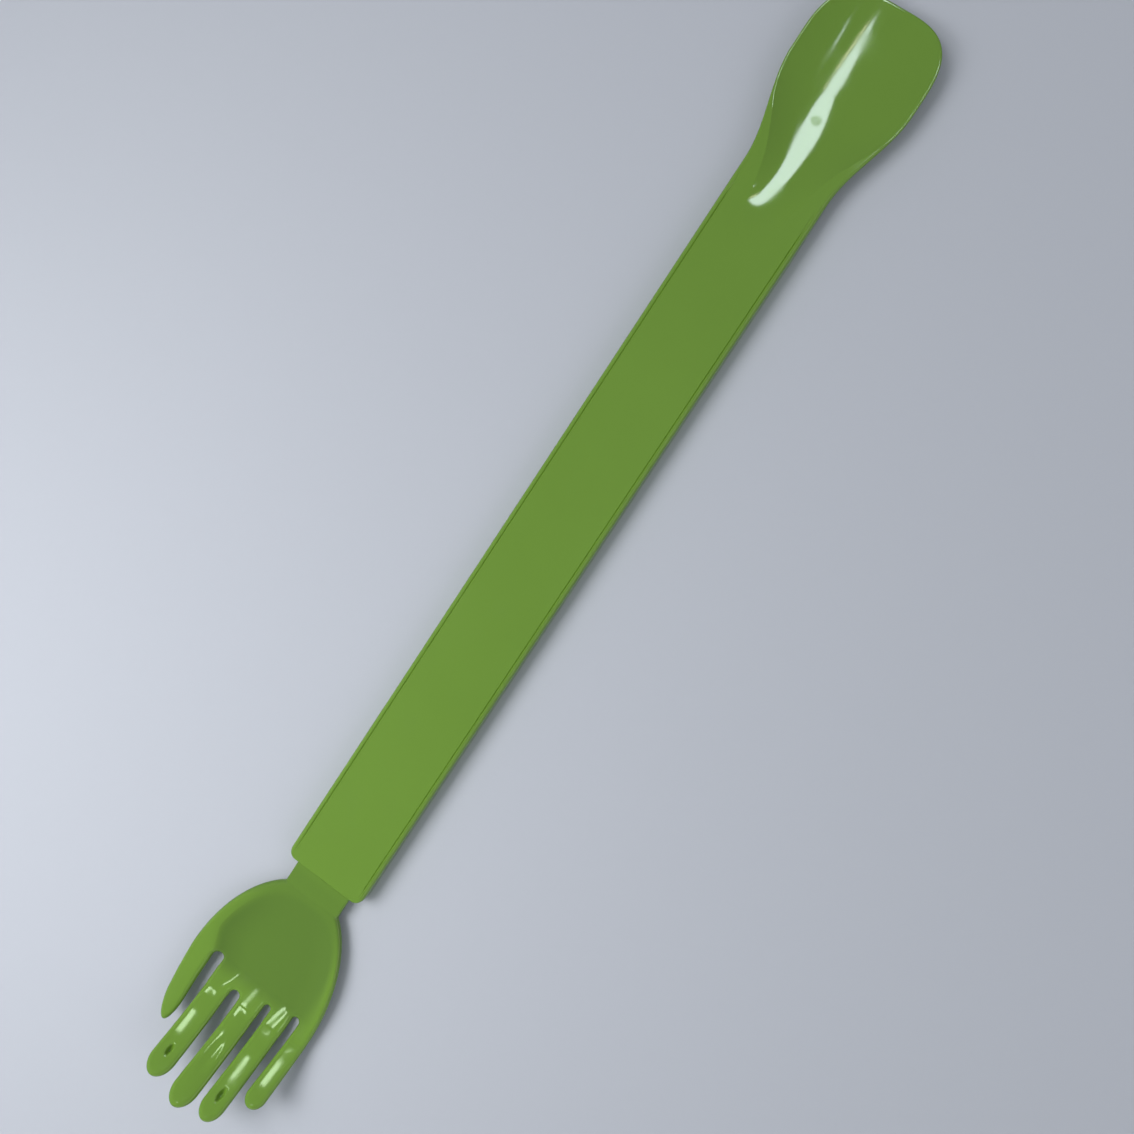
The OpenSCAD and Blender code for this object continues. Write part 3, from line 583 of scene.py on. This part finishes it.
def flatHand(x, y):
    # the hand before its fingers curl, as three maps over the plan: distance in from the outline, and the upper
    # and lower side as heights above the curl
    h, j = hand, joins
    past = h["knuckleX"] - x
    outline, (top, low) = palmOutline(x, y), palmSides(x, y)
    inPalm = 1 - ease(past, *h["palmEnd"])
    top = mix(0.0, top - arcZ(x), inPalm)
    low = mix(-h["fingerT"], low - arcZ(x), inPalm)
    for i in range(4):
        depth, v, along = fingerStrip(i, x, y)
        relief, raised = fingerRelief(i, y, past, v, along)
        top, low = top + relief + raised, low + raised
        outline = softMax(outline, depth, j["fingerFillet"][i])
    depth, v, along = thumbStrip(x, y)
    crown = h["rimCrown"] * np.clip(v, -h["crownMost"], h["crownMost"]) ** 2
    thumbTop = h["rimZ"] + h["thumbRise"] * along * along - arcZ(x) - crown
    thumbT = h["fingerT"] * (1 - h["thumbThin"] * ease(along, h["thinStart"], 1.0))
    isThumb = ease(y - thumbInY, *h["thumbEdge"]) * smooth((past + h["slotRoot"][0]) / h["thumbStartL"])
    top, low = mix(top, thumbTop, isThumb), mix(low, thumbTop - thumbT, isThumb)
    return softMax(outline, depth, j["thumbFillet"]) - j["trim"], top, low


def bareTongue(x, y):
    # the tongue as the same three maps: a long strip with guide shoes, and a slit round the spring arm
    t, aside = tongue, np.abs(y)
    outline = np.minimum(t["width"] / 2 - aside, np.minimum(t["endX"] - x, x - hand["palmX"] + joins["tongueLap"]))
    for start, end in t["shoes"]:
        outline = np.maximum(outline, np.minimum(t["shoeHalf"] - aside, np.minimum(x - start, end - x)))
    armEnd = t["armX"] + t["armHalf"]
    outer = np.minimum(t["armHalf"] + t["slitW"] - aside,
                       np.minimum(x - t["armX"] + t["armL"], armEnd + t["slitW"] - x))
    inner = np.minimum(t["armHalf"] - aside, armEnd - x)
    outline = np.minimum(outline, -np.minimum(outer, -inner))
    bump = t["bumpH"] * np.maximum(0.0, 1 - ((x - t["armX"]) ** 2 + y * y) / t["bumpR"] ** 2)
    return outline, t["highZ"] - levelZ, t["lowZ"] - levelZ - bump


def handMaps(x, y):
    # hand and tongue as one: the three maps, and the radius and power of the edges' rounding
    handOut, handTop, handLow = flatHand(x, y)
    barOut, barTop, barLow = bareTongue(x, y)
    onBar = ease(x - hand["palmX"], *joins["neckSpan"])
    return (softMax(handOut, barOut, joins["neckFillet"]),
            mix(handTop, barTop, onBar), mix(handLow, barLow, onBar),
            mix(hand["edgeR"], tongue["edgeR"], onBar), mix(hand["edgePower"], tongue["edgePower"], onBar))


def handField(outline, top, low, edgeR, power, z):
    # below 0 inside: rounded edges come from a superellipse of the distance in and the height in the thickness
    thick = np.maximum(hand["halfLeast"], (top - low) / 2)
    inward = np.maximum(0.0, 1 - outline / edgeR)
    return (inward ** power + np.abs((z - (top + low) / 2) / thick) ** power) ** (1 / power) - 1


def surfaceNet(field, axes):
    # one point in each cell that the surface crosses, at the mean of the crossings on its edges,
    # and a quad round each grid edge that it crosses; the spacing along an axis may vary
    inside = field < 0
    shape = np.array(field.shape) - 1
    corners = [(i, j, k) for i in (0, 1) for j in (0, 1) for k in (0, 1)]
    count = sum(inside[tuple(slice(o, o + n) for o, n in zip(corner, shape))].astype(np.int8) for corner in corners)
    cells = np.argwhere((count > 0) & (count < len(corners)))
    index = np.full(shape, -1, np.int64)
    index[tuple(cells.T)] = np.arange(len(cells))
    total, hits = np.zeros((len(cells), 3)), np.zeros(len(cells))
    for a in corners:
        for axis in range(3):
            if a[axis]:
                continue
            b = list(a)
            b[axis] = 1
            fa, fb = field[tuple((cells + a).T)], field[tuple((cells + b).T)]
            cross = (fa < 0) != (fb < 0)
            spot = cells + np.array(a, float)
            spot[:, axis] += np.where(cross, fa / np.where(cross, fa - fb, 1.0), 0.0)
            total += np.where(cross[:, None], spot, 0.0)
            hits += cross
    spots = total / hits[:, None]
    points = np.stack([np.interp(spots[:, i], np.arange(len(axes[i])), axes[i]) for i in range(3)], 1)
    quads = []
    for axis in range(3):
        u, v = (axis + 1) % 3, (axis + 2) % 3
        lowEnd, highEnd = [slice(None)] * 3, [slice(None)] * 3
        lowEnd[axis], highEnd[axis] = slice(0, -1), slice(1, None)
        a, b = inside[tuple(lowEnd)], inside[tuple(highEnd)]
        edges = np.argwhere(a != b)
        edges = edges[(edges[:, [u, v]] > 0).all(1) & (edges[:, [u, v]] < shape[[u, v]]).all(1)]
        ring = []
        for du, dv in ((1, 1), (0, 1), (0, 0), (1, 0)):
            cell = edges.copy()
            cell[:, u] -= du
            cell[:, v] -= dv
            ring.append(index[tuple(cell.T)])
        quad = np.stack(ring, 1)
        flip = ~a[tuple(edges.T)]
        quad[flip] = quad[flip][:, ::-1]
        quads.append(quad)
    return points, np.concatenate(quads)


def fieldAt(points):
    return handField(*handMaps(points[:, 0], points[:, 1]), points[:, 2])


def settle(points, quads):
    # evens out the net: each round moves points towards their neighbours' mean, then back onto the surface, along
    # the field's slope by its value over the slope
    ends = np.concatenate([quads[:, [0, 1]], quads[:, [1, 2]], quads[:, [2, 3]], quads[:, [3, 0]]])
    degree = np.bincount(ends[:, 0], minlength=len(points))[:, None]
    probe, leastSlope, tiny = net["probe"], 1e-4, 1e-9
    for turn in range(net["rounds"] + 1):
        if turn < net["rounds"]:
            mean = np.stack([np.bincount(ends[:, 0], points[ends[:, 1], i], len(points)) for i in range(3)], 1)
            points = mix(points, mean / degree, net["pull"])
        for again in range(net["returns"]):
            slope = np.stack([fieldAt(points + probe * axis) - fieldAt(points - probe * axis)
                              for axis in np.eye(3)], 1) / (2 * probe)
            move = -fieldAt(points)[:, None] * slope / np.maximum(np.sum(slope * slope, 1), leastSlope)[:, None]
            size = np.linalg.norm(move, axis=1, keepdims=True)
            points = points + move * np.minimum(1.0, net["longestMove"] / np.maximum(size, tiny))
    return points


def curl(points):
    # bends the flat hand: past the knuckles the level plane rolls onto a circle, with heights along its radius
    flatX, y, height = points.T
    swing = curlSwing(flatX)
    radius = hand["curlR"] - height
    x = np.where(flatX < bendX, bendX - radius * swing, flatX)
    return np.stack([x, y, levelZ + hand["curlR"] - radius * np.sqrt(1 - swing * swing)], 1)


firstX = hand["knuckleX"] - max(hand["fingerL"]) - net["aheadL"]
gridX = np.concatenate([np.arange(firstX, net["neckX"], net["cell"]),
                        np.arange(net["neckX"], net["shoeX"], net["barCell"]),
                        np.arange(net["shoeX"], net["endX"], net["shoeCell"])])
gridY = np.arange(-net["halfY"], net["halfY"], net["cell"])
gridZ = np.arange(net["lowZ"], net["highZ"], net["cellZ"])
maps = [m[:, :, None] for m in handMaps(*np.meshgrid(gridX, gridY, indexing="ij"))]
points, quads = surfaceNet(handField(*maps, gridZ[None, None, :]), (gridX, gridY, gridZ))
points = curl(settle(points, quads))
makePiece("scratcherHand", points, quads.tolist(), "hand", "scratcher_hand", handPlastic,
          hand["sharpDegrees"])
print("hand: palm, fingers, thumb and tongue made,", len(quads), "faces")

stage = {
    "floorColour": "#BBBFC7", "floorRoughness": 0.9, "floorSize": 6.0,
    "skyColour": "#F2F6FC", "skyStrength": 0.45, "horizonStrength": 0.4,  # soft room light, dimmer near the floor
}

lamps = {  # soft lights: a wide one on the thumb's side, a weak one on the other side, and one over the hand
    "keyLight": {"place": (-0.2, 1.2, 2.0), "aim": (-0.02, 0.0, 0.0), "size": 1.2, "power": 12.0},
    "fillLight": {"place": (0.3, -1.8, 1.2), "aim": (-0.02, 0.0, 0.0), "size": 1.2, "power": 6.0},
    "handLight": {"place": (-0.19, 0.2, 0.32), "aim": (-0.15, 0.0, 0.0), "size": 0.25, "power": 0.95},
}

cards = {  # what mirrors in the gloss: corners as tilts from upright in degrees along X and Y, seen from a point
    "bladeCard": {"from": (0.14, 0.002, 0.003), "height": 0.7, "colour": "#E6F6FA", "strength": 15.2, "tilts": (
        ((14.6, -2.8), (20.4, -3.8), (23.0, -5.0), (27.0, -6.6), (30.0, -7.8), (32.6, -9.8), (35.5, -15.0),
         (33.5, 16.5), (29.0, 11.0), (25.0, 7.4), (20.4, 4.4), (17.0, 1.4), (14.6, -2.2)),
        ((16.8, -15.6), (19.8, -14.2), (19.8, -13.4), (16.8, -14.8)))},
    "bladeEdgeCard": {"from": (0.14, 0.002, 0.003), "height": 0.7, "colour": "#FFFBD8", "strength": 24.0, "tilts": (
        ((15.5, -4.6), (20.4, -5.4), (20.4, -4.8), (15.5, -4.0)),)},
    "fingerCard": {"from": (-0.175, 0.0, 0.008), "height": 0.7, "colour": "#E5FFD7", "strength": 13.9, "tilts": (
        ((4.0, -2.0), (15.6, -2.0), (15.6, 1.0), (4.0, 1.0)),)},
    "rightCard": {"from": (0.0, 0.0, 0.0), "height": 0.25, "colour": "#FFFBD8", "strength": 2.2, "tilts": (
        ((-70.0, -70.0), (66.0, -70.0), (66.0, -54.0), (-70.0, -54.0)),)},
    "frontCard": {"from": (-0.2, 0.0, 0.015), "height": 0.12, "colour": "#FFFFFF", "strength": 4.0, "tilts": (
        ((-80.0, -75.0), (-73.0, -75.0), (-73.0, -10.0), (-80.0, -10.0)),)},
}

view = {
    "place": (0.0301, -0.05775, 0.3458), "aim": (-0.00326, -0.00827, 0.0), "up": (0.8289, 0.5595, 0.0),
    "lens": 37.746, "sensor": 36.0, "clip": (0.01, 20.0),
}


def paleFloor():
    # a matt pale board, wide enough to fill every view
    size = stage["floorSize"] / 2
    mesh = bpy.data.meshes.new("paleFloor")
    mesh.from_pydata([(-size, -size, 0), (size, -size, 0), (size, size, 0), (-size, size, 0)], [], [(0, 1, 2, 3)])
    material = bpy.data.materials.new("mattPaleBoard")
    material.use_nodes = True
    tree = material.node_tree
    tree.nodes.clear()
    shader = addNode(tree, "ShaderNodeBsdfPrincipled", None, {
        "Base Color": linear(stage["floorColour"]), "Roughness": stage["floorRoughness"],
        "Specular IOR Level": 0.0})  # no gloss, so that no card mirrors in it
    addNode(tree, "ShaderNodeOutputMaterial", None, {"Surface": shader.outputs["BSDF"]})
    mesh.materials.append(material)
    floor = bpy.data.objects.new("paleFloor", mesh)
    bpy.context.scene.collection.objects.link(floor)


def aimed(thing, place, aim, up):
    # puts a lamp or the camera at a place, looking at a point
    forward = (Vector(aim) - Vector(place)).normalized()
    right = forward.cross(Vector(up)).normalized()
    turned = Matrix((right, right.cross(forward), -forward)).transposed().to_4x4()
    thing.matrix_world = Matrix.Translation(Vector(place)) @ turned


def softLamp(name, lamp):
    # lights by its glow alone: what mirrors in the gloss are the cards
    light = bpy.data.lights.new(name, "AREA")
    light.shape, light.size, light.size_y = "RECTANGLE", lamp["size"], lamp["size"]
    light.energy = lamp["power"]
    thing = bpy.data.objects.new(name, light)
    bpy.context.scene.collection.objects.link(thing)
    thing.visible_glossy = False
    aimed(thing, lamp["place"], lamp["aim"], (0.0, 1.0, 0.01))


def glossyCard(name, card):
    # bright panels overhead that show as crisp streaks on the gloss and light nothing else
    corners = np.array([corner for panel in card["tilts"] for corner in panel])
    aside = np.tan(np.radians(corners)) * card["height"]
    spots = np.concatenate([aside, np.full((len(aside), 1), card["height"])], 1) + card["from"]
    mesh = bpy.data.meshes.new(name)
    ends = np.cumsum([len(panel) for panel in card["tilts"]])
    mesh.from_pydata(spots.tolist(), [], [part.tolist() for part in np.split(np.arange(len(spots)), ends[:-1])])
    material = bpy.data.materials.new(name)
    material.use_nodes = True
    tree = material.node_tree
    tree.nodes.clear()
    glow = addNode(tree, "ShaderNodeEmission", None, {
        "Color": linear(card["colour"]), "Strength": card["strength"]})
    addNode(tree, "ShaderNodeOutputMaterial", None, {"Surface": glow.outputs["Emission"]})
    mesh.materials.append(material)
    panel = bpy.data.objects.new(name, mesh)
    bpy.context.scene.collection.objects.link(panel)
    panel.visible_camera = panel.visible_diffuse = panel.visible_shadow = False


def softRoom():
    # room light that fades evenly from the ceiling to the horizon
    world = bpy.data.worlds.new("softRoom")
    world.use_nodes = True
    tree = world.node_tree
    tree.nodes.clear()
    place = addNode(tree, "ShaderNodeTexCoord").outputs["Generated"]
    height = addNode(tree, "ShaderNodeSeparateXYZ", None, {"Vector": place}).outputs["Z"]
    strength = addNode(tree, "ShaderNodeMapRange", None, {
        "Value": height, "To Min": stage["horizonStrength"], "To Max": stage["skyStrength"]})
    sky = addNode(tree, "ShaderNodeBackground", None, {
        "Color": linear(stage["skyColour"]), "Strength": strength.outputs["Result"]})
    addNode(tree, "ShaderNodeOutputWorld", None, {"Surface": sky.outputs["Background"]})
    bpy.context.scene.world = world


paleFloor()
for name, lamp in lamps.items():
    softLamp(name, lamp)
for name, card in cards.items():
    glossyCard(name, card)
softRoom()
cameraData = bpy.data.cameras.new("photoCamera")
cameraData.sensor_width, cameraData.lens = view["sensor"], view["lens"]
cameraData.clip_start, cameraData.clip_end = view["clip"]
camera = bpy.data.objects.new("photoCamera", cameraData)
bpy.context.scene.collection.objects.link(camera)
aimed(camera, view["place"], view["aim"], view["up"])
bpy.context.scene.camera = camera
bpy.context.scene.view_settings.view_transform = "Standard"
print("stage: floor, light and camera set")
